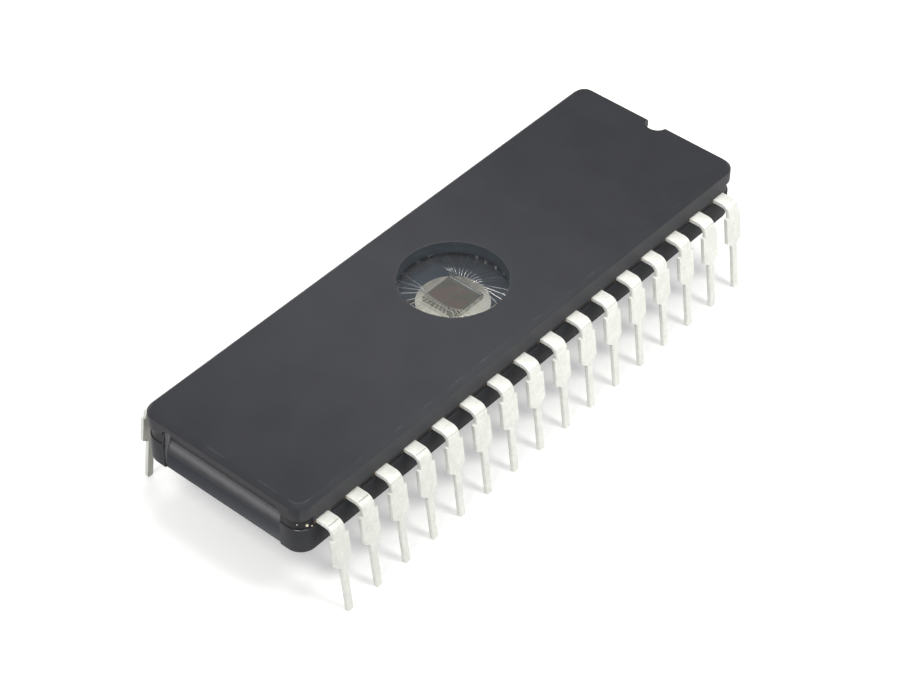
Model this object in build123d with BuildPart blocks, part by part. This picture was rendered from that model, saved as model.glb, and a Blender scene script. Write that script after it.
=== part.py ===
from build123d import *
import os
from math import radians, sin, sqrt, tan

# A windowed ceramic dual in-line chip with 32 leads: two pressed ceramic halves sealed with
# glass frit around a stamped lead frame, and a clear round window over the silicon die.
# Millimetres. Z = 0 at the lead tips, +Y towards the notched end, X across the two lead rows.

# Lead rows
leads_per_row = 16
lead_pitch = 2.54
row_spacing = 15.24
lead_thickness = 0.25
lead_lean = 7.0
bend_radius = 0.48
strip_width = 1.0
shoulder_width = 1.42
pin_width = 0.46
pin_tip_radius = 0.12
seating_height = 3.48
taper_height = 0.39
shoulder_height = 1.98

# Ceramic base
standoff = 0.99
base_width = 13.0
base_length = 41.74
base_thickness = 1.93
base_corner_radius = 1.1
base_edge_radius = 0.12
base_recess_depth = 0.15
recess_width = 9.5

# Ceramic cap
cap_width = 13.04
cap_length = 41.84
cap_thickness = 1.63
cap_corner_radius = 1.0
cap_bevel = 0.31
cap_recess_depth = 0.4
cap_recess_height = 0.87
recess_corner_radius = 0.4
corner_step_depth = 0.2
corner_step_height = 0.38
corner_step_gap = 0.25
notch_radius = 0.78
notch_inset = 0.15
notch_lip_radius = 0.12
cap_cavity_width = 8.4
cap_cavity_length = 9.4
cap_cavity_depth = 0.12

# Window
window_diameter = 7.11
window_thickness = 1.2

# Seal glass
frit_under_leads = 0.1
frit_over_leads = 0.08
frit_setback = 0.05
corner_band_taper = 8.0
skirt_drop = 0.65
skirt_slope = 0.2
skirt_sag = 0.05

# Die, its cavity and its attach pad
cavity_width = 6.6
cavity_length = 7.6
cavity_corner_radius = 0.5
cavity_depth = 0.45
attach_radius = 2.4
attach_thickness = 0.05
attach_fillet = 0.15
die_width = 2.75
die_length = 2.7
die_thickness = 0.5

# Inner fingers of the lead frame
finger_width = 0.32
finger_root = 0.6
finger_root_overlap = 0.4
finger_bend_radius = 0.25
finger_overhang = 0.15
finger_setback = 0.15
side_finger_pitch = 0.75
end_finger_pitch = 0.7
side_fingers = 4
side_finger_run = 1.05
end_finger_run = 0.65
finger_spread = 0.15

# Bond wires
wire_diameter = 0.05
wire_foot = 0.12
wire_rise_run = 0.15
wire_rise_height = 0.42
wire_crest_run = 0.45
wire_loop = 0.3
wire_dip = 0.05
wire_window_gap = 0.15
wire_bend_radius = 0.1
wire_setback = 0.2
pad_pitch = 0.165
pad_inset = 0.12

# Heights of the layers above the lead tips
base_bottom = seating_height + standoff
base_top = base_bottom + base_thickness
lead_bottom = base_top + frit_under_leads
lead_middle = lead_bottom + lead_thickness / 2
lead_top = lead_bottom + lead_thickness
cap_bottom = lead_top + frit_over_leads
cap_top = cap_bottom + cap_thickness
cavity_floor = base_top - cavity_depth
die_bottom = cavity_floor + attach_thickness
die_top = die_bottom + die_thickness

# Both ends carry a shallow recess, which the frit fills with a sloping skirt, and beside it
# a step that runs round the corners to the outermost leads
base_panel_y = base_length / 2 - base_recess_depth
cap_panel_y = cap_length / 2 - cap_recess_depth
skirt_inner_y = min(base_panel_y, cap_panel_y) - skirt_slope

lead_rows = [lead_pitch * (i - (leads_per_row - 1) / 2) for i in range(leads_per_row)]
corner_step_y = lead_rows[-1] + strip_width / 2 + corner_step_gap


def corner_steps():
    """Plan of the steps at both ends: all that lies beyond the outermost leads, outside a
    core that is set in from the base's outline."""
    with BuildSketch() as steps:
        with Locations((0, -cap_length / 2), (0, cap_length / 2)):
            Rectangle(cap_width, cap_length - 2 * corner_step_y)
        RectangleRounded(
            base_width - 2 * corner_step_depth,
            base_length - 2 * corner_step_depth,
            base_corner_radius - corner_step_depth,
            mode=Mode.SUBTRACT,
        )
    return steps.sketch


# Ceramic base, with the die cavity and the end recesses
with BuildPart() as base:
    with BuildSketch(Plane.XY.offset(base_bottom)):
        RectangleRounded(base_width, base_length, base_corner_radius)
    extrude(amount=base_thickness)
    fillet(base.edges().group_by(Axis.Z)[0], base_edge_radius)
    with BuildSketch(Plane.XY.offset(base_bottom)):
        with Locations((0, -base_length / 2), (0, base_length / 2)):
            Rectangle(recess_width, 2 * base_recess_depth)
    extrude(amount=base_thickness, mode=Mode.SUBTRACT)
    with BuildSketch(Plane.YZ) as skirt_seat:
        with BuildLine():
            Polyline(
                (base_panel_y, base_top - skirt_drop),
                (base_length / 2, base_top - skirt_drop),
                (base_length / 2, base_top),
                (skirt_inner_y, base_top),
                close=True,
            )
        make_face()
        mirror(about=Plane.YZ)
    extrude(amount=recess_width / 2, both=True, mode=Mode.SUBTRACT)
    with BuildSketch(Plane.XY.offset(cavity_floor)):
        RectangleRounded(cavity_width, cavity_length, cavity_corner_radius)
    extrude(amount=cavity_depth, mode=Mode.SUBTRACT)

# Ceramic cap, with a bevelled rim, the window hole, the notch, the end recesses and steps,
# and a shallow cavity below that clears the bond wires
with BuildPart() as cap:
    with BuildSketch(Plane.XY.offset(cap_bottom)):
        RectangleRounded(cap_width, cap_length, cap_corner_radius)
    extrude(amount=cap_thickness)
    chamfer(cap.edges().group_by(Axis.Z)[-1], cap_bevel)
    with BuildSketch(Plane.XY.offset(cap_bottom)):
        Circle(window_diameter / 2)
    extrude(amount=cap_thickness, mode=Mode.SUBTRACT)
    with BuildSketch(Plane((0, cap_length / 2, cap_bottom))):
        with BuildLine():
            lip = RadiusArc(
                (notch_radius + notch_lip_radius, 0),
                (notch_radius, -notch_lip_radius),
                -notch_lip_radius,
            )
            wall = Line(lip @ 1, (notch_radius, -notch_inset))
            RadiusArc(wall @ 1, (0, -notch_inset - notch_radius), notch_radius)
            Line((0, 0), lip @ 0)
            mirror(about=Plane.YZ)
        make_face()
    extrude(amount=cap_thickness, mode=Mode.SUBTRACT)
    for recess_plane in (Plane.XZ.offset(cap_panel_y), Plane.XZ.offset(-cap_length / 2)):
        with BuildSketch(recess_plane):
            with Locations((0, cap_bottom)):
                RectangleRounded(recess_width, 2 * cap_recess_height, recess_corner_radius)
        extrude(amount=cap_recess_depth, mode=Mode.SUBTRACT)
    with BuildSketch(Plane.XY.offset(cap_bottom)):
        add(corner_steps())
    extrude(amount=corner_step_height, mode=Mode.SUBTRACT)
    with BuildSketch(Plane.XY.offset(cap_bottom)):
        RectangleRounded(cap_cavity_width, cap_cavity_length, cavity_corner_radius)
    extrude(amount=cap_cavity_depth, mode=Mode.SUBTRACT)

# Clear glass window, fused into the hole and flush with the cap's face
with BuildPart() as window_glass:
    with BuildSketch(Plane.XY.offset(cap_top - window_thickness)):
        Circle(window_diameter / 2)
    extrude(amount=window_thickness)

# Silicon die
with BuildPart() as die:
    with BuildSketch(Plane.XY.offset(die_bottom)):
        Rectangle(die_width, die_length)
    extrude(amount=die_thickness)

# Round pad of attach paste, with a fillet that climbs the die's sides
with BuildPart() as die_attach:
    with BuildSketch(Plane.XY.offset(cavity_floor)):
        Circle(attach_radius)
    extrude(amount=attach_thickness)
    with BuildSketch(Plane.XY.offset(die_bottom)):
        Rectangle(die_width + 2 * attach_fillet, die_length + 2 * attach_fillet)
    extrude(amount=attach_fillet, taper=45)
    with BuildSketch(Plane.XY.offset(die_bottom)):
        Rectangle(die_width, die_length)
    extrude(amount=attach_fillet, mode=Mode.SUBTRACT)


def finger_path(rank):
    """Plan points of the inner finger of the lead that is rank places from the middle of
    its row, from under the seal to its free end, for the quadrant with X and Y positive."""
    root_x = base_width / 2 - finger_root
    row_y = lead_pitch * (rank + 0.5)
    side_x = cavity_width / 2 + finger_setback
    end_y = cavity_length / 2 - finger_overhang
    last_rank = leads_per_row // 2 - 1
    if rank < side_fingers - 1:
        tip = (side_x, side_finger_pitch * (rank + 1))
        turn = (side_x + side_finger_run, side_finger_pitch * (rank + 1))
    elif rank == side_fingers - 1:
        tip = (side_x, side_finger_pitch * (rank + 1))
        turn = (side_x + side_finger_run + finger_spread, tip[1] + side_finger_run - finger_spread)
    else:
        tip = (end_finger_pitch * (last_rank - rank + 0.5), end_y)
        turn = (tip[0] + finger_spread, end_y + end_finger_run)
    return (root_x + finger_root_overlap, row_y), (root_x, row_y), turn, tip


def make_lead(side, row_y):
    """One lead of the frame: the inner finger, the strip through the seal, the bend, the
    wide shoulder that stops it in a board, the taper and the pin."""
    rank = int(abs(row_y) / lead_pitch)
    end = 1 if row_y > 0 else -1
    lean = tan(radians(lead_lean))
    tip_rise = lead_thickness / 2 * sin(radians(lead_lean))
    knee_x = row_spacing / 2
    foot_x = knee_x + (lead_middle - tip_rise) * lean
    shoulder_top = seating_height + taper_height + shoulder_height
    with BuildPart() as lead:
        with BuildSketch(Plane(origin=(0, row_y, 0), x_dir=(side, 0, 0), z_dir=(0, -side, 0))):
            with BuildLine():
                FilletPolyline(
                    (base_width / 2 - finger_root, lead_middle),
                    (knee_x, lead_middle),
                    (foot_x, tip_rise),
                    radius=bend_radius,
                )
            trace(line_width=lead_thickness)
        extrude(amount=shoulder_width / 2, both=True)
        with BuildSketch(Plane(origin=(0, row_y, 0), x_dir=(0, 1, 0), z_dir=(1, 0, 0))):
            with BuildLine():
                Polyline(
                    (0, lead_top + lead_thickness),
                    (strip_width / 2, lead_top + lead_thickness),
                    (strip_width / 2, shoulder_top),
                    (shoulder_width / 2, shoulder_top),
                    (shoulder_width / 2, seating_height + taper_height),
                    (pin_width / 2, seating_height),
                    (pin_width / 2, pin_tip_radius),
                )
                RadiusArc(
                    (pin_width / 2, pin_tip_radius),
                    (pin_width / 2 - pin_tip_radius, 0),
                    pin_tip_radius,
                )
                Line((pin_width / 2 - pin_tip_radius, 0), (0, 0))
                mirror(about=Plane.YZ)
            make_face()
        extrude(amount=row_spacing, both=True, mode=Mode.INTERSECT)
        with BuildSketch(Plane.XY.offset(lead_bottom)):
            with BuildLine():
                FilletPolyline(
                    *[(side * x, end * y) for x, y in finger_path(rank)],
                    radius=finger_bend_radius,
                )
            trace(line_width=finger_width)
        extrude(amount=lead_thickness)
    return lead.part


# Leads, counted from the notch down the -X row and back up the +X row
leads = {}
for i, row_y in enumerate(reversed(lead_rows)):
    leads[i + 1] = make_lead(-1, row_y)
for i, row_y in enumerate(lead_rows):
    leads[leads_per_row + i + 1] = make_lead(1, row_y)

# Bands of frit that fill the steps round the corners and lean in under the cap's edge
with BuildPart() as corner_bands:
    with BuildSketch(Plane.XY.offset(base_top)):
        RectangleRounded(base_width - 2 * frit_setback, base_length - 2 * frit_setback, base_corner_radius)
    extrude(amount=cap_bottom + corner_step_height - base_top, taper=corner_band_taper)
    with BuildSketch(Plane.XY.offset(base_top)):
        add(corner_steps())
    extrude(amount=cap_bottom + corner_step_height - base_top, mode=Mode.INTERSECT)

# Frit seal between base and cap, open over the die cavity and moulded around the leads
with BuildPart() as seal_glass:
    with BuildSketch(Plane.XY.offset(base_top)):
        RectangleRounded(base_width - 2 * frit_setback, base_length - 2 * frit_setback, base_corner_radius)
        RectangleRounded(cavity_width, cavity_length, cavity_corner_radius, mode=Mode.SUBTRACT)
        add(corner_steps(), mode=Mode.SUBTRACT)
    extrude(amount=lead_top - base_top)
    with BuildSketch(Plane.XY.offset(lead_top)):
        RectangleRounded(base_width - 2 * frit_setback, base_length - 2 * frit_setback, base_corner_radius)
        RectangleRounded(cap_cavity_width, cap_cavity_length, cavity_corner_radius, mode=Mode.SUBTRACT)
        add(corner_steps(), mode=Mode.SUBTRACT)
    extrude(amount=frit_over_leads)
    add(corner_bands.part)
    with BuildSketch(Plane.YZ):
        with Locations((-base_length / 2, base_top), (base_length / 2, base_top)):
            Rectangle(2 * (base_length / 2 - skirt_inner_y), base_thickness)
    extrude(amount=recess_width / 2, both=True, mode=Mode.SUBTRACT)
    with BuildSketch(Plane.YZ):
        with BuildLine():
            SagittaArc((base_panel_y, base_top - skirt_drop), (cap_panel_y, cap_bottom), skirt_sag)
            Polyline(
                (cap_panel_y, cap_bottom),
                (skirt_inner_y, cap_bottom),
                (skirt_inner_y, base_top),
                (base_panel_y, base_top - skirt_drop),
            )
        make_face()
        mirror(about=Plane.YZ)
    extrude(amount=recess_width / 2, both=True)
    for lead in leads.values():
        add(lead, mode=Mode.SUBTRACT)


def make_wire(rank, side, end):
    """One bond wire, wedge bonded on the die's edge and on the end of an inner finger. It
    loops up from the die and is down again where it passes under the rim of the window."""
    radius = wire_diameter / 2
    pad_rank = leads_per_row // 2 - 1 - rank
    pad = Vector(side * pad_pitch * (pad_rank + 0.5), end * (die_length / 2 - pad_inset), die_top + radius)
    turn, tip = finger_path(rank)[2:]
    toward_root = (Vector(*turn) - Vector(*tip)).normalized()
    landing = Vector(*tip) + toward_root * wire_setback
    landing = Vector(side * landing.X, end * landing.Y, lead_top + radius)
    run = Vector(landing.X - pad.X, landing.Y - pad.Y, 0)
    step = landing.Z - pad.Z
    along = pad.dot(run.normalized())
    dip_radius = window_diameter / 2 - wire_window_gap
    dip_run = sqrt(along**2 + dip_radius**2 - pad.X**2 - pad.Y**2) - along
    plane = Plane(origin=pad, x_dir=run, z_dir=run.cross(Vector(0, 0, 1)))
    with BuildPart() as wire:
        with BuildLine(plane) as path:
            FilletPolyline(
                (-wire_foot, 0),
                (0, 0),
                (wire_rise_run, wire_rise_height),
                (wire_crest_run, step + wire_loop),
                (dip_run, step + wire_dip),
                (run.length - wire_foot, step),
                (run.length, step),
                radius=wire_bend_radius,
            )
        with BuildSketch(Plane(origin=path.line @ 0, z_dir=path.line % 0)):
            Circle(radius)
        sweep()
    return wire.part


# Bond wires, eight to each corner of the package
wire_groups = {}
for end, end_name in ((1, "rear"), (-1, "front")):
    for side, side_name in ((-1, "left"), (1, "right")):
        with BuildPart() as wires:
            for rank in range(leads_per_row // 2):
                add(make_wire(rank, side, end))
        wire_groups["bond_wires_%s_%s" % (end_name, side_name)] = wires.part

base.part.label = "base"
cap.part.label = "cap"
window_glass.part.label = "window_glass"
die.part.label = "die"
die_attach.part.label = "die_attach"
seal_glass.part.label = "seal_glass"

os.makedirs("parts", exist_ok=True)
export_step(base.part, "parts/base.step")
export_step(cap.part, "parts/cap.step")
export_step(window_glass.part, "parts/window_glass.step")
export_step(die.part, "parts/die.step")
export_step(die_attach.part, "parts/die_attach.step")
export_step(seal_glass.part, "parts/seal_glass.step")
for number, lead in leads.items():
    lead.label = "lead_%02d" % number
    export_step(lead, "parts/%s.step" % lead.label)
for name, group in wire_groups.items():
    group.label = name
    export_step(group, "parts/%s.step" % name)
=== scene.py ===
from math import cos, pi, radians, sin, tan

import bmesh
import bpy
from mathutils import Matrix, Vector


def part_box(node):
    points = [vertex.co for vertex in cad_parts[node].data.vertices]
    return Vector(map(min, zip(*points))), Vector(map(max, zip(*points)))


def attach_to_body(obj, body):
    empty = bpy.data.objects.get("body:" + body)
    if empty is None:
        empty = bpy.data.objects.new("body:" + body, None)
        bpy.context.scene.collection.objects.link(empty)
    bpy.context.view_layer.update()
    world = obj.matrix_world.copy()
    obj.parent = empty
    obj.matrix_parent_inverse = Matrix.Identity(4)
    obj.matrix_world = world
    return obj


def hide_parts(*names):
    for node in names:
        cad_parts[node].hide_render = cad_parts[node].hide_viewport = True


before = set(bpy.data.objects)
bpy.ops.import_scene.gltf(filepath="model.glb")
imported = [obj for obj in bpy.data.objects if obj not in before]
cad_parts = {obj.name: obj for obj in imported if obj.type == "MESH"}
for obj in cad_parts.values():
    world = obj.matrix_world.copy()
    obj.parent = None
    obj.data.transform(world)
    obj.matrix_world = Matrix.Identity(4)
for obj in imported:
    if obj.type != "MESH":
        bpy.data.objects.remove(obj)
bpy.context.view_layer.update()

# Ceramic base. The lower half of the package, of blackened alumina powder, pressed in a die and
# fired: nearly black, with a fine grain. Seal glass has run over the recessed panel in each end
# and left it glossier than the rest, and round the die the ceramic looks bluish.
mm = 0.001
sharp_angle = radians(35)
flat_angle = radians(0.2)
weld_gap = 0.0005
ceramic_edge = 0.05
base_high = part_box("base")[1]
base_side_x = base_high.x / mm
end_y = base_high.y / mm
recess_half_width = 4.75
panel_fade = (recess_half_width - 0.02, recess_half_width - 0.1)
glaze_depth = 0.45
cavity_reach = 5.2
cavity_low_z = 5.0
ceramic_black = (0.0270, 0.0277, 0.0325, 1)
ceramic_grey = (0.0350, 0.0357, 0.0415, 1)
cavity_blue = (0.063, 0.086, 0.114, 1)
glaze_black = (0.026, 0.030, 0.040, 1)

# The plain stand-in materials that come with the CAD pieces go first.
for stock in {slot.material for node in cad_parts.values() for slot in node.material_slots}:
    bpy.data.materials.remove(stock)


class Wire:
    """The output of a shader node. Arithmetic on it adds Math nodes to its material."""

    def __init__(self, tree, socket=None):
        self.tree = tree
        self.socket = socket

    def node(self, kind, settings=None, inputs=None, output=0):
        """One output of a new node of that kind, with its settings and sockets filled in."""
        made = self.tree.nodes.new("ShaderNode" + kind)
        for name, value in (settings or {}).items():
            setattr(made, name, value)
        for name, value in (inputs or {}).items():
            if isinstance(value, Wire):
                self.tree.links.new(value.socket, made.inputs[name])
            else:
                made.inputs[name].default_value = value
        return Wire(self.tree, made.outputs[output])

    def maths(self, operation, *values):
        """The result of a Math node on these values, in their order."""
        return self.node("Math", {"operation": operation}, dict(enumerate(values)))

    def __add__(self, other):
        return self.maths("ADD", self, other)

    __radd__ = __add__

    def __mul__(self, other):
        return self.maths("MULTIPLY", self, other)

    __rmul__ = __mul__

    def __sub__(self, other):
        return self.maths("SUBTRACT", self, other)

    def __rsub__(self, other):
        return self.maths("SUBTRACT", other, self)

    def __truediv__(self, other):
        return self.maths("DIVIDE", self, other)

    def __abs__(self):
        return self.maths("ABSOLUTE", self)

    def __gt__(self, other):
        return self.maths("GREATER_THAN", self, other)

    def __lt__(self, other):
        return self.maths("LESS_THAN", self, other)

    def rise(self, low, high):
        """A soft step from 0 at low to 1 at high. With low above high it falls as this grows."""
        if low > high:
            return 1 - self.rise(high, low)
        inputs = {"Value": self, "From Min": low, "From Max": high}
        return self.node("MapRange", {"interpolation_type": "SMOOTHSTEP"}, inputs)

    def blend(self, first, second):
        """The first colour where this is 0, the second where it is 1."""
        return self.node("Mix", {"data_type": "RGBA"}, {0: self, 6: first, 7: second}, output=2)


def start_finish(name):
    """A new material, and the place on its piece in mm, from which its nodes grow."""
    material = bpy.data.materials.new(name)
    material.use_nodes = True
    place = Wire(material.node_tree).node("TexCoord", output="Object")
    place = place.node("VectorMath", {"operation": "SCALE"}, {0: place, "Scale": 1 / mm})
    return material, place


def split(place):
    """The X, Y and Z of a place, each as a value."""
    return [place.node("SeparateXYZ", inputs={0: place}, output=axis) for axis in range(3)]


def cloud(place, size, detail=2.0, roughness=0.5):
    """Soft noise from 0 to 1 with features of that size in mm."""
    inputs = {"Vector": place, "Scale": 1 / size, "Detail": detail, "Roughness": roughness}
    return place.node("TexNoise", inputs=inputs)


def bump(height, depth, under=None):
    """Relief from a height of 0 to 1 that stands for a depth in mm, over other relief."""
    inputs = {"Height": height, "Distance": depth * mm}
    if under is not None:
        inputs["Normal"] = under
    return height.node("Bump", inputs=inputs)


def set_shader(material, **sockets):
    """Sets or links the sockets of the material's main shader, with _ for a space."""
    shader = material.node_tree.nodes["Principled BSDF"]
    for name, value in sockets.items():
        socket = shader.inputs[name.replace("_", " ")]
        if isinstance(value, Wire):
            material.node_tree.links.new(value.socket, socket)
        else:
            socket.default_value = value


def ceramic_body(name):
    """Fired black alumina: fine grain and faint cloudy mottling, as a shade from 0 to 1."""
    material, place = start_finish(name)
    grain = cloud(place, size=0.07, detail=3)
    mottle = cloud(place, size=2.6, detail=4, roughness=0.6)
    shade = (0.6 * mottle + 0.4 * grain).rise(0.3, 0.7)
    relief = bump(grain, depth=0.006, under=bump(mottle, depth=0.02))
    return material, place, shade, mottle, relief


def placed(name, mesh, material):
    """The object of a finished mesh, in the scene, with its material."""
    mesh.materials.append(material)
    piece = bpy.data.objects.new(name, mesh)
    bpy.context.scene.collection.objects.link(piece)
    return piece


def softened(node_name, name, material, edge, broad=False):
    """A copy of a CAD piece whose sharp edges are rounded to a radius in mm, in its place.
    A piece with broad faces has its normals weighted by area, which keeps those faces flat."""
    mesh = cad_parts[node_name].data.copy()
    mesh.name = name
    mesh.materials.clear()
    body = bmesh.new()
    body.from_mesh(mesh)
    bmesh.ops.remove_doubles(body, verts=body.verts, dist=weld_gap * mm)
    bmesh.ops.dissolve_limit(
        body, angle_limit=flat_angle, use_dissolve_boundaries=False,
        verts=body.verts, edges=body.edges,
    )
    for face in body.faces:
        face.smooth = True
    body.to_mesh(mesh)
    body.free()
    piece = placed(name, mesh, material)
    rounding = piece.modifiers.new("rounded_edges", "BEVEL")
    rounding.width = edge * mm
    rounding.segments = 2
    rounding.limit_method = "ANGLE"
    rounding.angle_limit = sharp_angle
    rounding.use_clamp_overlap = True
    rounding.harden_normals = not broad
    if broad:
        flats = piece.modifiers.new("flat_faces", "WEIGHTED_NORMAL")
        flats.keep_sharp = False
    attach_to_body(piece, "root")
    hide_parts(node_name)
    return piece


base_finish, place, shade, mottle, relief = ceramic_body("fired_ceramic_base")
x, y, z = split(place)
glazed = (abs(y) > end_y - glaze_depth) * abs(x).rise(*panel_fade)
round_cavity = (abs(x) < cavity_reach) * (abs(y) < cavity_reach) * (z > cavity_low_z)
base_colour = round_cavity.blend(shade.blend(ceramic_black, ceramic_grey), cavity_blue)
set_shader(
    base_finish,
    Base_Color=glazed.blend(base_colour, glaze_black),
    Roughness=0.46 + 0.1 * mottle - glazed * 0.28,
    Specular_IOR_Level=0.17,
    Normal=relief,
)
base = softened("base", "ceramic_base", base_finish, edge=ceramic_edge)

# Attach paste. A cream silver-glass paste is spread in a round pad on the cavity's floor, the
# die is pressed into it, and it is fired hard. Behind the die it has painted shade.
paste_edge = 0.02
paste_cream = (0.97, 0.93, 0.82, 1)
paste_white = (1.0, 0.975, 0.90, 1)
paste_shadow = (0.40, 0.38, 0.33, 1)
paste_shade_pale = (0.56, 0.53, 0.46, 1)
paste_finish, place = start_finish("fired_attach_paste")
x, y = split(place)[:2]
lumps = cloud(place, size=0.5, detail=4)
fine = cloud(place, size=0.05)
lump_shade = lumps.rise(0.35, 0.65)
# Painted shade: the paste behind the die is painted greyer.
shade_behind_die = (y - x + 1.2 * (lumps - 0.5)).rise(0.0, 2.0)
pale_paste = lump_shade.blend(paste_cream, paste_white)
set_shader(
    paste_finish,
    Base_Color=shade_behind_die.blend(pale_paste, lump_shade.blend(paste_shadow, paste_shade_pale)),
    Roughness=0.5 + 0.2 * fine,
    Normal=bump(lumps, depth=0.03, under=bump(fine, depth=0.004)),
)
attach = softened("die_attach", "attach_paste_pad", paste_finish, edge=paste_edge)

# Die. A sawn and polished silicon chip, with two blocks of memory cells, the row decoder between
# them, and a row of aluminium bond pads along each short end.
die_half_x, die_half_y, die_top_z = (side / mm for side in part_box("die")[1])
block_margin_x = 0.14
block_margin_y = 0.36
decoder_half = 0.06
column_pitch = 0.09
row_pitch = 0.13
pad_pitch = 0.165
pad_fill = 0.33
pad_half = 0.05
pad_row_inset = 0.12
pad_margin_x = 0.1
face_depth = 0.01
cell_green = (0.165, 0.165, 0.130, 1)
cell_brown = (0.250, 0.155, 0.135, 1)
cell_line = (0.26, 0.25, 0.215, 1)
circuit_dark = (0.17, 0.175, 0.150, 1)
circuit_light = (0.27, 0.265, 0.235, 1)
pad_aluminium = (0.85, 0.85, 0.83, 1)
# The sawn sides are painted paler than their grey silicon, as painted light over their shade.
sawn_grey_lit = (0.46, 0.445, 0.39, 1)
sawn_pale_lit = (0.80, 0.78, 0.70, 1)
die_finish, place = start_finish("patterned_silicon")
x, y, z = split(place)
on_top = z > die_top_z - face_depth
in_block = (abs(x) < die_half_x - block_margin_x) * (abs(y) < die_half_y - block_margin_y)
in_block = in_block * (abs(x) > decoder_half)
columns = x.maths("SINE", x * (2 * pi / column_pitch))
rows = y.maths("SINE", y * (2 * pi / row_pitch))
cells = 0.5 + 0.25 * (columns + rows)
cell_colour = cloud(place, size=1.1, detail=1).rise(0.35, 0.65).blend(cell_green, cell_brown)
cell_colour = (0.7 * cells).blend(cell_colour, cell_line)
circuit_colour = cloud(place, size=0.12).rise(0.4, 0.6).blend(circuit_dark, circuit_light)
pad_phase = abs((x / pad_pitch).maths("FRACT", x / pad_pitch) - 0.5)
pad_row = abs(abs(y) - (die_half_y - pad_row_inset)) < pad_half
pads = pad_row * (pad_phase < pad_fill) * (abs(x) < die_half_x - pad_margin_x)
top_colour = pads.blend(in_block.blend(circuit_colour, cell_colour), pad_aluminium)
saw_marks = cloud(place, size=0.16, detail=4)
set_shader(
    die_finish,
    Base_Color=on_top.blend(saw_marks.rise(0.35, 0.65).blend(sawn_grey_lit, sawn_pale_lit), top_colour),
    Metallic=0.1 + 0.6 * on_top,
    Roughness=0.5 - 0.2 * on_top + 0.15 * cells * on_top,
    Normal=bump(cells * in_block + pads, depth=0.003),
)
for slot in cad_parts["die"].material_slots:
    slot.material = die_finish

# Lead frame. Thirty-two leads are stamped from one strip of iron-nickel alloy, sealed between the
# two ceramic halves, then bent down and dipped in tin. Tops and bends are painted paler than the
# outer faces as painted light, painted shade lines mark the bend's foot and a crease across some
# strips, the inner faces have painted shade, and the leads are darker towards the plain end.
leads = 32
other_row = 50
lead_pitch = 2.54
lead_edge = 0.04
half_strip = 0.125
seal_edge_x = 6.4
bend_start_x = 7.37
bend_z = 6.55
bend_edge_z = 6.483
knee_x = 7.62
knee_z = 6.625
lean = tan(radians(7))
finger_tip_y = 3.65
crease_fade = (0.065, 0.02)
crease_end_fade = (0.52, 0.36)
bend_foot_shade_fade = (0.03, 0.005)
creased_end = (-5, -14)
brighter_end = (-24, 6)
crease_shade_grey = (0.34, 0.33, 0.29, 1)
shaded_tin = (0.46, 0.45, 0.41, 1)
finger_grey = (0.085, 0.100, 0.125, 1)
finger_silver = (0.95, 0.95, 0.96, 1)
tin_finish, place = start_finish("dipped_tin")
x, y, z = split(place)
wobble = 0.12 * (cloud(place, size=0.35, detail=3) - 0.5)
blotch = cloud(place, size=0.9, detail=5, roughness=0.6)
speckle = cloud(place, size=0.22, detail=3)
fine = cloud(place, size=0.06)
across = (y.maths("FRACT", y / lead_pitch) - 0.5) * lead_pitch
lead_index = y.maths("FLOOR", y / lead_pitch) + other_row * (x > 0)
chance = y.node("TexWhiteNoise", {"noise_dimensions": "1D"}, {"W": lead_index}, output="Value")
# The crease is relief, and its dark line is painted shade.
crease = abs(abs(x) - bend_start_x + wobble).rise(*crease_fade) * (z > bend_z)
crease = crease * abs(across).rise(*crease_end_fade)
crease = crease * chance.rise(0.2, 0.6) * (0.3 + 0.7 * y.rise(*creased_end))
# A painted shade line along the foot of the bend on some leads.
bend_foot_shade = abs(z - bend_edge_z + wobble).rise(*bend_foot_shade_fade) * (abs(x) > bend_start_x)
bend_foot_shade = bend_foot_shade * chance.rise(0.9, 0.2)
# Painted light and shade: the tin is painted paler on the tops and bends than on the outer faces.
outer_face_shade = (z + wobble).rise(bend_edge_z + 0.2, bend_edge_z - 0.02)
shade = (0.6 * blotch + 0.4 * speckle).rise(0.3, 0.7)
along = y.rise(*brighter_end)
lit_tin = along.blend(
    shade.blend((0.78, 0.79, 0.745, 1), (0.885, 0.89, 0.855, 1)),
    shade.blend((0.93, 0.935, 0.895, 1), (1.0, 1.0, 0.97, 1)),
)
shaded_face_tin = along.blend(
    shade.blend((0.67, 0.68, 0.64, 1), (0.785, 0.795, 0.755, 1)),
    shade.blend((0.775, 0.785, 0.74, 1), (0.905, 0.915, 0.87, 1)),
)
# Painted shade on the inner faces, which face the body.
from_middle = abs(x) - knee_x + (z - knee_z) * lean
inner_side = from_middle.rise(0.03 - half_strip, 0.01 - half_strip) * (z < knee_z - 0.3)
tin_colour = outer_face_shade.blend(lit_tin, inner_side.blend(shaded_face_tin, shaded_tin))
tin_colour = (crease * 0.65 + bend_foot_shade * 0.4).blend(tin_colour, crease_shade_grey)
finger_tip = (abs(y) < finger_tip_y) * (abs(x) < lead_pitch / 2)
sealed = abs(x).rise(seal_edge_x + 0.05, seal_edge_x)
set_shader(
    tin_finish,
    Base_Color=sealed.blend(tin_colour, finger_tip.blend(finger_grey, finger_silver)),
    Metallic=0.15,
    Roughness=0.54 + 0.10 * blotch + 0.05 * outer_face_shade,
    Normal=bump(fine, depth=0.004, under=bump(shade - crease * 0.6, depth=0.02)),
)
for number in range(1, leads + 1):
    name = "tinned_lead_%02d" % number
    lead = softened("lead_%02d" % number, name, tin_finish, edge=lead_edge)
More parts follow.
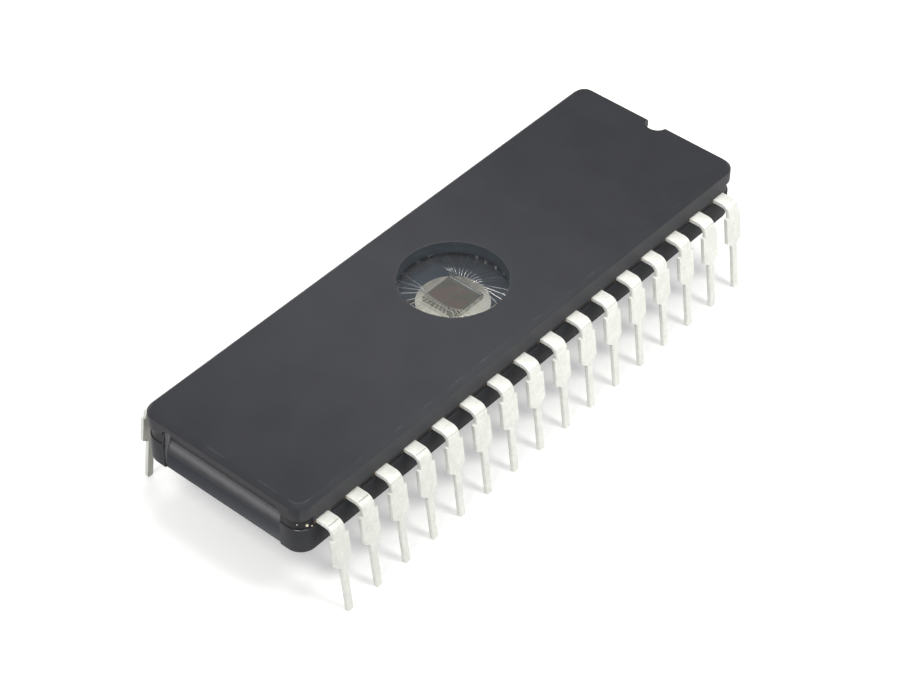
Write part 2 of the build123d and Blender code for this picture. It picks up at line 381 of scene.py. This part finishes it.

# Bond wires. Drawn aluminium wire, wedge bonded with ultrasound from each pad of the die to the
# inner end of a lead. The outer halves of the wires behind the die are painted dark as painted
# shade, those in front are painted grey over the die's shade and cream like the lit paste, and a
# pale ball by one bond stands for a painted glint.
glint_ball_radius = 0.07
glint_ball_place = (-3.38, 1.58, 6.79)
fan_turn = (0.68, 0.78)
tail_shade_reach = (1.75, 2.1)
paste_tone_reach = (1.7, 2.2)
front_tone_from_x = -1.0
rough_below_x = -1.2
rough_below_y = 0.3
wire_bright = (0.90, 0.90, 0.90, 1)
wire_silver = (0.97, 0.97, 0.96, 1)
wire_shade_grey = (0.62, 0.58, 0.50, 1)
wire_paste_cream = (0.88, 0.82, 0.69, 1)
wire_tail_shade = (0.11, 0.12, 0.145, 1)
wire_finish, place = start_finish("drawn_aluminium")
x, y = split(place)[:2]
draw = cloud(place, size=0.03, detail=1)
reach = x.maths("SQRT", x * x + y * y)
steep = (abs(y) / reach).rise(*fan_turn)
behind = (y > 0) * steep.maths("MAXIMUM", steep, x < 0)
# Painted shade: the outer halves of the wires behind the die are painted dark.
tail_shade = reach.rise(*tail_shade_reach) * behind
# The wires in front are painted in the tones around them: grey as painted shade near the die, and
# cream as painted light over the paste.
front_painted_tone = (y < 0) * steep.maths("MAXIMUM", steep, x > front_tone_from_x)
front_wire_painted_tone = reach.rise(*paste_tone_reach).blend(wire_shade_grey, wire_paste_cream)
wire_colour = front_painted_tone.blend(draw.blend(wire_bright, wire_silver), front_wire_painted_tone)
rough_fan = (x < rough_below_x) * (y < rough_below_y)
set_shader(
    wire_finish,
    Base_Color=tail_shade.blend(wire_colour, wire_tail_shade),
    Metallic=1 - front_painted_tone,
    Roughness=0.18 + 0.08 * draw + 0.35 * front_painted_tone + 0.25 * tail_shade + 0.16 * rough_fan,
)
for corner in ("front_left", "front_right", "rear_left", "rear_right"):
    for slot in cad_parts["bond_wires_" + corner].material_slots:
        slot.material = wire_finish


def add_ball(body, place, radius):
    """Adds a ball of that radius in mm to a body."""
    where = Matrix.Translation(Vector(place) * mm)
    bmesh.ops.create_icosphere(body, subdivisions=2, radius=radius * mm, matrix=where)


def cast(name, body):
    """The mesh of a modelled body, which is used up."""
    mesh = bpy.data.meshes.new(name)
    body.to_mesh(mesh)
    body.free()
    return mesh


def finished(name, body, material):
    """The object of a new piece, smooth but for its corners, riding with the chip."""
    bmesh.ops.recalc_face_normals(body, faces=body.faces)
    for face in body.faces:
        face.smooth = True
    for edge in body.edges:
        edge.smooth = edge.calc_face_angle(0) < sharp_angle
    piece = placed(name, cast(name, body), material)
    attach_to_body(piece, "root")


# A pale ball by one bond stands for a painted glint; its white is painted highlight.
glint_finish, place = start_finish("painted_glint_white")
glint_mottle = cloud(place, size=0.05)
set_shader(
    glint_finish,
    Base_Color=glint_mottle.blend((0.88, 0.89, 0.90, 1), (0.98, 0.98, 0.98, 1)),
    Metallic=0.1,
    Roughness=0.35 + 0.1 * glint_mottle,
)
glint_ball = bmesh.new()
add_ball(glint_ball, glint_ball_place, glint_ball_radius)
finished("glint_ball", glint_ball, glint_finish)

# Seal glass. A grey-black lead-glass frit, melted between the halves. It grips the leads, browned
# by their oxide, rounds the corners as a dark band, deepened with painted shade from the cap's
# overhang, and runs out in each end recess as a sloping skirt with a painted sheen in its middle
# that fades towards its foot, and painted shade at its top.
skirt_sheen_z = 6.35
skirt_sheen_fade_z = 5.85
seam_z = 6.83
frit_side_x = 6.1
stain_fade = (0.85, 0.55)
skirt_top_shade_fade = (seam_z - 0.12, seam_z - 0.45)
skirt_shade_black = (0.020, 0.021, 0.026, 1)
skirt_sheen_grey = (0.108, 0.106, 0.118, 1)
band_shade_black = (0.010, 0.010, 0.012, 1)
oxide_dark = (0.025, 0.018, 0.012, 1)
oxide_brown = (0.140, 0.085, 0.045, 1)
frit_finish, place = start_finish("melted_frit")
x, y, z = split(place)
flow = cloud(place, size=0.8, detail=3)
specks = cloud(place, size=0.12, detail=3)
across = (y.maths("FRACT", y / lead_pitch) - 0.5) * lead_pitch
at_lead = abs(across).rise(*stain_fade) * abs(x).rise(frit_side_x, frit_side_x + 0.2)
# Painted sheen and shade: the skirt is painted pale in its middle and dark at its top and foot.
skirt_sheen = (z + 0.25 * (flow - 0.5)).rise(skirt_sheen_fade_z, skirt_sheen_z)
skirt_sheen = skirt_sheen * z.rise(*skirt_top_shade_fade)
in_recess = abs(x).rise(recess_half_width + 0.01, recess_half_width - 0.01)
# The dark frit of the corner bands is painted darker still, as painted shade under the cap.
frit_colour = in_recess.blend(band_shade_black, skirt_sheen.blend(skirt_shade_black, skirt_sheen_grey))
oxide_colour = specks.rise(0.4, 0.7).blend(oxide_dark, oxide_brown)
set_shader(
    frit_finish,
    Base_Color=at_lead.blend(frit_colour, oxide_colour),
    Roughness=0.46 + 0.12 * flow - 0.28 * in_recess,
    Specular_IOR_Level=0.30,
    Normal=bump(flow, depth=0.02, under=bump(specks, depth=0.006)),
)
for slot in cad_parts["seal_glass"].material_slots:
    slot.material = frit_finish

# Frit beads. In the corners of each end recess the melted glass has drawn up into concave beads,
# wide under the cap and running out down the base. A short meniscus and a few drops of it stand
# on the corner by lead 17, the drops pale as painted glints, and one brown drop by lead 16.
bead_foot_z = 4.75
bead_top_z = 7.3
bead_rows = 14
bead_curve_steps = 7
bead_foot_width = 0.05
bead_widest = 0.34
bead_flare = 1.6
bead_foot_depth = 0.10
bead_top_depth = 0.20
bead_embed = 0.03
skirt_foot_z = 5.75
base_panel_y = 20.72
cap_panel_y = 20.52
bead_dark = (0.040, 0.042, 0.050, 1)
bead_grey = (0.072, 0.074, 0.083, 1)
bead_finish, place = start_finish("drawn_frit")
z = split(place)[2]
run_out = cloud(place, size=0.5, detail=3)
bead_height = (z + 0.5 * (run_out - 0.5)).rise(bead_foot_z, bead_top_z - 0.3)
set_shader(
    bead_finish,
    Base_Color=bead_height.blend(bead_dark, bead_grey),
    Roughness=0.16 + 0.1 * run_out,
    Specular_IOR_Level=0.45,
    Normal=bump(run_out, depth=0.01),
)


def skin(body, rings):
    """Joins closed rings of places in mm into one closed shape with flat ends."""
    rows = [[body.verts.new(Vector(place) * mm) for place in ring] for ring in rings]
    for low, high in zip(rows, rows[1:]):
        for i in range(len(low)):
            body.faces.new((low[i - 1], low[i], high[i], high[i - 1]))
    body.faces.new(rows[0])
    body.faces.new(rows[-1])


def bead_ring(side, end, share):
    """The outline of a bead at a share of its height, in the corner on that side and end."""
    height = bead_foot_z + share * (bead_top_z - bead_foot_z)
    slope = min(max((height - skirt_foot_z) / (seam_z - skirt_foot_z), 0), 1)
    back_y = base_panel_y + slope * (cap_panel_y - base_panel_y)
    width = bead_foot_width + (bead_widest - bead_foot_width) * share**bead_flare
    depth = bead_foot_depth + (bead_top_depth - bead_foot_depth) * share**2
    turns = [0.5 * pi * step / bead_curve_steps for step in range(bead_curve_steps + 1)]
    outline = [(-bead_embed, -bead_embed), (-bead_embed, depth)]
    outline += [(width * (1 - cos(turn)), depth * (1 - sin(turn))) for turn in turns]
    outline += [(width, -bead_embed)]
    return [
        (side * (recess_half_width - inward), end * (back_y + outward), height)
        for inward, outward in outline
    ]


beads = bmesh.new()
for side in (-1, 1):
    for end in (-1, 1):
        skin(beads, [bead_ring(side, end, row / bead_rows) for row in range(bead_rows + 1)])
finished("frit_beads", beads, bead_finish)

# The pale drops are painted cream and amber as painted glints.
drop_glint_cream = (0.95, 0.90, 0.80, 1)
drop_glint_amber = (0.80, 0.62, 0.40, 1)
drop_brown = (0.10, 0.03, 0.02, 1)
drop_rust = (0.22, 0.07, 0.04, 1)
glint_drops = (
    ((5.91, -20.58, 6.73), 0.045),
    ((6.30, -20.16, 6.62), 0.10),
    ((6.43, -19.88, 6.45), 0.05),
)
brown_drops = (((-4.83, -20.81, 6.40), 0.05),)
drop_kinds = (
    ("frit_drops", "frit_drop", glint_drops, drop_glint_amber, drop_glint_cream),
    ("brown_frit_drop", "brown_frit_drop", brown_drops, drop_brown, drop_rust),
)
for name, finish_name, balls, dark, light in drop_kinds:
    drop_finish, place = start_finish(finish_name)
    glaze = cloud(place, size=0.1)
    set_shader(drop_finish, Base_Color=glaze.blend(dark, light), Roughness=0.12 + 0.1 * glaze)
    drops = bmesh.new()
    for ball_place, ball_radius in balls:
        add_ball(drops, ball_place, ball_radius)
    finished(name, drops, drop_finish)

corner_radius = 1.1
meniscus_z = 6.38
meniscus_radius = 0.045
meniscus_start = -72
meniscus_turn = 4
meniscus_steps = 12
meniscus_sides = 10
meniscus_embed = 0.01
corner_middle = Vector((base_side_x - corner_radius, -end_y + corner_radius, meniscus_z))
rings = []
for step in range(meniscus_steps + 1):
    around = radians(meniscus_start + meniscus_turn * step)
    outward = Vector((cos(around), sin(around), 0))
    swell = meniscus_radius * (0.25 + 0.75 * sin(pi * step / meniscus_steps))
    turns = [2 * pi * i / meniscus_sides for i in range(meniscus_sides)]
    rings.append([
        corner_middle
        + outward * (corner_radius - meniscus_embed + swell * cos(turn))
        + Vector((0, 0, swell * sin(turn)))
        for turn in turns
    ])
meniscus = bmesh.new()
skin(meniscus, rings)
finished("frit_meniscus", meniscus, bead_finish)

# Ceramic cap. The upper half of the package, pressed like the base, with a bevelled rim, the
# half-round notch that marks the first lead's end, and a round hole for the window. Its face is
# painted paler in the middle as a painted sheen, its sides and ends have painted light and shade,
# its end recesses painted shade, the edges of its face are worn light and painted with a
# painted highlight, and a pale ring is painted round the window's rim.
cap_side_x, cap_end_y, cap_top_z = (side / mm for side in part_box("cap")[1])
cap_bevel = 0.31
face_corner_radius = 0.69
hole_radius = 3.555
recess_roof_z = 7.72
side_top_z = 8.15
sheen_middle_y = -4
middle_sheen_fade = (22, 1)
edge_wear_highlight_fade = (0.09, 0.0)
pale_rim_fade = (0.05, 0.01)
pale_rim_middle = 0.04
face_dark = (0.0335, 0.0342, 0.0412, 1)
face_sheen_pale = (0.0570, 0.0580, 0.0660, 1)
side_painted_dark = (0.0385, 0.0392, 0.0440, 1)
side_painted_pale = (0.0480, 0.0487, 0.0540, 1)
end_shade_black = (0.0260, 0.0264, 0.0312, 1)
roof_shade_black = (0.018, 0.018, 0.021, 1)
hole_blue = (0.072, 0.102, 0.134, 1)
pale_edge_grey = (0.17, 0.17, 0.175, 1)
cap_finish, place, shade, mottle, relief = ceramic_body("fired_ceramic_cap")
x, y, z = split(place)
# Painted sheen: the middle of the face is painted paler.
middle_sheen = abs(y - sheen_middle_y).rise(*middle_sheen_fade)
face_colour = (0.3 * shade + 0.7 * middle_sheen).blend(face_dark, face_sheen_pale)
# Painted light and shade: the sides are painted lighter and the ends darker.
end_side = abs(y) > cap_end_y - cap_bevel + 0.02
side_colour = end_side.blend(shade.blend(side_painted_dark, side_painted_pale), end_shade_black)
colour = z.rise(side_top_z - 0.1, side_top_z + 0.1).blend(side_colour, face_colour)
# Painted shade under the roof of each end recess.
in_recess = (z < recess_roof_z) * (abs(y) < cap_panel_y + 0.06)
in_recess = in_recess * (abs(x) < recess_half_width + 0.02)
colour = in_recess.blend(colour, roof_shade_black)
past_x = x.maths("MAXIMUM", abs(x) - (cap_side_x - cap_bevel - face_corner_radius), 0)
past_y = y.maths("MAXIMUM", abs(y) - (cap_end_y - cap_bevel - face_corner_radius), 0)
face_edge = x.maths("SQRT", past_x * past_x + past_y * past_y) - face_corner_radius
hole_edge = x.maths("SQRT", x * x + y * y) - hole_radius
worn = cloud(place, size=1.6, detail=4).rise(0.5, 0.75)
# The edges of the face are worn light, with a painted highlight; a pale ring is painted round the
# window's rim.
edge_wear_highlight = abs(face_edge).rise(*edge_wear_highlight_fade) * worn * 0.28
pale_rim_ring = abs(hole_edge - pale_rim_middle).rise(*pale_rim_fade) * 0.16
hole_wall = (hole_edge < 0.02) * (z < cap_top_z - 0.06)
colour = hole_wall.blend(colour, hole_blue)
colour = ((edge_wear_highlight + pale_rim_ring) * (z > cap_top_z - 0.05)).blend(colour, pale_edge_grey)
set_shader(
    cap_finish,
    Base_Color=colour,
    Roughness=0.44 + 0.1 * mottle,
    Specular_IOR_Level=0.17,
    Normal=relief,
)
cap = softened("cap", "ceramic_cap", cap_finish, edge=ceramic_edge, broad=True)

# Window. A disc of clear ultraviolet glass, fused into the cap's hole and ground flush with it.
# Its rounded rim sinks a hair into the ceramic.
glass_low, glass_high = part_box("window_glass")
fused_depth = 0.02
rim_radius = 0.05
rim_sides = 160
pane_sink = 0.012
glass_finish, place = start_finish("ground_clear_glass")
polish = cloud(place, size=0.4)
set_shader(
    glass_finish,
    Base_Color=(0.985, 0.995, 1.0, 1),
    Roughness=0.01 * polish,
    Transmission_Weight=1.0,
    IOR=1.5,
)
pane = bmesh.new()
bmesh.ops.create_circle(
    pane, cap_ends=True, radius=glass_high.x + fused_depth * mm, segments=rim_sides,
    matrix=Matrix.Translation((0, 0, glass_low.z)),
)
raised = bmesh.ops.extrude_face_region(pane, geom=pane.faces[:])["geom"]
top_verts = [v for v in raised if isinstance(v, bmesh.types.BMVert)]
thickness = glass_high.z - glass_low.z - pane_sink * mm
bmesh.ops.translate(pane, verts=top_verts, vec=(0, 0, thickness))
bmesh.ops.recalc_face_normals(pane, faces=pane.faces)
top_rim = [e for e in pane.edges if all(v in top_verts for v in e.verts)]
bmesh.ops.bevel(
    pane, geom=top_rim, offset=rim_radius * mm, segments=3, profile=0.5,
    affect="EDGES", material=-1,
)
window = placed("window_pane", cast("window_pane", pane), glass_finish)
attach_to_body(window, "root")
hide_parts("window_glass")

# Floor. A broad sheet of white paper. To the camera, and in metal and glass, it glows a little,
# so that it runs out to white and still keeps the soft shadow.
floor_half = 1.5
paper_white = 0.88
floor_glow = 0.36
paper_finish, place = start_finish("white_paper")
seen = place.node("LightPath", output="Is Camera Ray")
for ray in ("Is Glossy Ray", "Is Transmission Ray"):
    seen = seen.maths("MAXIMUM", seen, place.node("LightPath", output=ray))
set_shader(
    paper_finish,
    Base_Color=(paper_white, paper_white, paper_white, 1),
    Roughness=0.9,
    Specular_IOR_Level=0.0,
    Emission_Color=seen.blend((0, 0, 0, 1), (1, 1, 1, 1)),
    Emission_Strength=floor_glow,
)
paper = bmesh.new()
bmesh.ops.create_grid(paper, x_segments=1, y_segments=1, size=floor_half)
floor = placed("white_floor", cast("white_floor", paper), paper_finish)

# Light. A white sweep runs all round the horizon, below a dim ceiling, and three warm softboxes
# hang over the chip: one to its right, one in front and a weaker one straight above.
sweep_top = sin(radians(5))
ceiling_start = sin(radians(20))
sweep_white = (1, 1, 1, 1)
ceiling_grey = (0.41, 0.415, 0.43, 1)
lamp_reach = 0.45
lamp_size = 0.13
lamp_colour = (0.99, 0.985, 0.925)
softboxes = (
    ("softbox_right", (0.60, 0.12, 1), 0.71),
    ("softbox_front", (0.08, -0.60, 1), 0.64),
    ("softbox_above", (-0.1, 0.15, 1), 0.37),
)
sky = bpy.data.worlds.new("studio_room")
bpy.context.scene.world = sky
sky.use_nodes = True
climb = split(Wire(sky.node_tree).node("TexCoord", output="Generated"))[2]
room_colour = climb.rise(sweep_top, ceiling_start).blend(sweep_white, ceiling_grey)
room = sky.node_tree.nodes["Background"]
sky.node_tree.links.new(room_colour.socket, room.inputs["Color"])
room.inputs["Strength"].default_value = 1.0
for name, heading, power in softboxes:
    lamp_heading = Vector(heading).normalized()
    lamp_data = bpy.data.lights.new(name, "AREA")
    lamp_data.shape = "DISK"
    lamp_data.size = lamp_size
    lamp_data.energy = power
    lamp_data.color = lamp_colour
    lamp = bpy.data.objects.new(name, lamp_data)
    bpy.context.scene.collection.objects.link(lamp)
    lamp.location = lamp_heading * lamp_reach
    lamp.rotation_euler = lamp_heading.to_track_quat("Z", "Y").to_euler()

# Camera. It stands in front of the plain end, to the right, and looks down on the chip through
# a long lens.
camera_place = (83.93, -97.84, 123.21)
camera_heading = 40.70
camera_dip = 42.89
camera_roll = 0.32
focal_length = 110.6
film_width = 36
camera_data = bpy.data.cameras.new("camera")
camera_data.sensor_width = film_width
camera_data.lens = focal_length
camera_data.clip_start = 0.01
camera_data.clip_end = 10
camera = bpy.data.objects.new("camera", camera_data)
bpy.context.scene.collection.objects.link(camera)
turn = Matrix.Rotation(radians(camera_heading), 3, "Z")
turn = turn @ Matrix.Rotation(radians(90 - camera_dip), 3, "X")
turn = turn @ Matrix.Rotation(radians(camera_roll), 3, "Z")
camera.rotation_euler = turn.to_euler()
camera.location = Vector(camera_place) * mm
bpy.context.scene.camera = camera

bpy.context.scene.view_settings.view_transform = "Standard"

bpy.context.view_layer.update()
